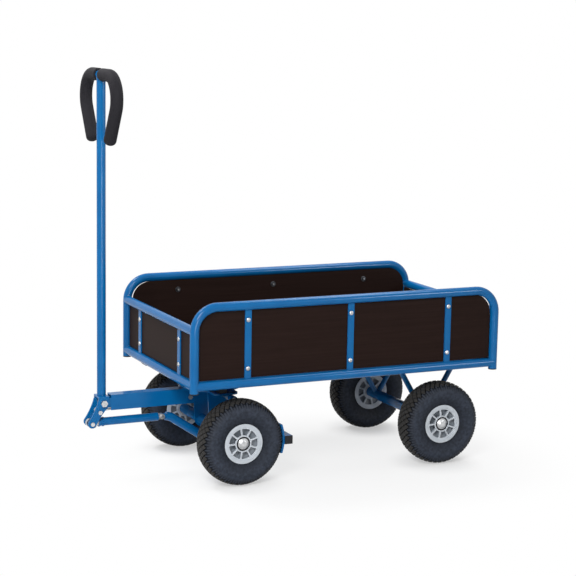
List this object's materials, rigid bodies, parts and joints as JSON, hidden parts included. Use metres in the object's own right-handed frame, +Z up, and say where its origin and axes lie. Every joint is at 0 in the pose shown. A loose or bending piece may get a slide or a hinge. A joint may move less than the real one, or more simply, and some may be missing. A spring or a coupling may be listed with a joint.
{
  "type": "hand cart",
  "caption": "Hand cart with a tubular steel bed, plywood sides, turntable steering, pneumatic wheels and an upright drawbar whose tilt works a brake on the front tyres.",
  "frame": {"origin": "on the ground, under the middle of the cart's overall length and width at rest", "axes": "+Z up, -X towards the drawbar end, +Y to the cart's right-hand side"},
  "size_m": [1.2564, 0.604, 1.2237],
  "materials": {
    "blue_paint": "semi-gloss powder coat",
    "zinc_steel": "bright zinc plate",
    "plywood_panel": "dark film-faced plywood, satin",
    "black_paint": "satin black",
    "grip_foam": "matt foam sleeve",
    "black_plastic": "matt moulded",
    "tyre_rubber": "matt moulded rubber",
    "rim_plastic": "satin moulded"
  },
  "bodies": {
    "cart": {"side_frame_left": "blue_paint", "side_frame_right": "blue_paint", "side_bottom_rails": "blue_paint", "end_rails": "blue_paint", "panel_bars": "blue_paint", "side_panels": "plywood_panel", "end_panels": "plywood_panel", "floor_panel": "plywood_panel", "panel_bolts": "zinc_steel", "panel_nuts": "zinc_steel", "post_plugs": "black_plastic", "longitudinals": "blue_paint", "cross_members": "blue_paint", "turntable_plate": "blue_paint", "turntable_upper_race": "black_paint", "rear_axle_tube": "blue_paint", "rear_axle_shaft": "zinc_steel", "rear_axle_fittings": "zinc_steel", "rear_struts": "blue_paint"},
    "bogie": {"turntable_lower_race": "black_paint", "turntable_balls": "zinc_steel", "bogie_plate": "blue_paint", "bolster_pads": "black_plastic", "kingpin": "zinc_steel", "bolster_cheeks": "blue_paint", "front_axle_tube": "blue_paint", "front_axle_shaft": "zinc_steel", "front_axle_fittings": "zinc_steel", "drawbar_arm": "blue_paint", "hinge_bush": "zinc_steel", "arm_bolts": "zinc_steel", "gas_spring_cylinder": "black_paint", "brake_pivot_pins": "zinc_steel"},
    "drawbar": {"drawbar_tube": "blue_paint", "drawbar_fork": "blue_paint", "fork_bolts": "zinc_steel", "handle_bow": "blue_paint", "grip_left": "grip_foam", "grip_right": "grip_foam"},
    "brake_frame": {"brake_bar": "blue_paint", "bar_caps": "black_plastic", "brake_shoes": "blue_paint", "brake_hangers": "blue_paint", "brake_yoke": "blue_paint", "yoke_bolt": "zinc_steel"},
    "brake_push_rod": {"brake_rod": "blue_paint", "rod_eyes": "zinc_steel"},
    "gas_piston": {"gas_spring_rod": "zinc_steel"},
    "front_left_wheel": {"front_left_tyre": "tyre_rubber", "front_left_rim": "rim_plastic", "front_left_bearing": "zinc_steel"},
    "front_right_wheel": {"front_right_tyre": "tyre_rubber", "front_right_rim": "rim_plastic", "front_right_bearing": "zinc_steel"},
    "rear_left_wheel": {"rear_left_tyre": "tyre_rubber", "rear_left_rim": "rim_plastic", "rear_left_bearing": "zinc_steel"},
    "rear_right_wheel": {"rear_right_tyre": "tyre_rubber", "rear_right_rim": "rim_plastic", "rear_right_bearing": "zinc_steel"}
  },
  "joints": [
    {"name": "steering", "type": "hinge", "parent": "cart", "child": "bogie", "pos_m": [-0.22923, 0, 0.271], "axis": [0, 0, 1], "range_deg": [-50, 50]},
    {"name": "drawbar_tilt", "type": "hinge", "parent": "bogie", "child": "drawbar", "pos_m": [-0.57922, 0, 0.227], "axis": [0, -1, 0], "range_deg": [0, 60], "stiffness_Nm_per_rad": 14, "springref_deg": -25.78},
    {"name": "brake_swing", "type": "hinge", "parent": "bogie", "child": "brake_frame", "pos_m": [-0.21422, 0, 0.238], "axis": [0, -1, 0], "range_deg": [0, 29.7]},
    {"name": "brake_rod_pivot", "type": "hinge", "parent": "brake_frame", "child": "brake_push_rod", "pos_m": [-0.38622, 0, 0.166], "axis": [0, -1, 0], "range_deg": [-48.9, 0]},
    {"name": "gas_spring_stroke", "type": "slide", "parent": "bogie", "child": "gas_piston", "axis": [0.9972, 0, 0.0751], "range_m": [0, 0.0296]},
    {"name": "front_left_spin", "type": "hinge", "parent": "bogie", "child": "front_left_wheel", "pos_m": [-0.22923, -0.24, 0.13], "axis": [0, 1, 0], "continuous": true},
    {"name": "front_right_spin", "type": "hinge", "parent": "bogie", "child": "front_right_wheel", "pos_m": [-0.22923, 0.24, 0.13], "axis": [0, 1, 0], "continuous": true},
    {"name": "rear_left_spin", "type": "hinge", "parent": "cart", "child": "rear_left_wheel", "pos_m": [0.44877, -0.24, 0.13], "axis": [0, 1, 0], "continuous": true},
    {"name": "rear_right_spin", "type": "hinge", "parent": "cart", "child": "rear_right_wheel", "pos_m": [0.44877, 0.24, 0.13], "axis": [0, 1, 0], "continuous": true}
  ],
  "couplings": [
    {"joint": "brake_swing", "follows": "drawbar_tilt", "ratio": 0.49449},
    {"joint": "brake_rod_pivot", "follows": "drawbar_tilt", "ratio": -0.81322},
    {"joint": "gas_spring_stroke", "follows": "drawbar_tilt", "m_per_rad": 0.028202}
  ]
}
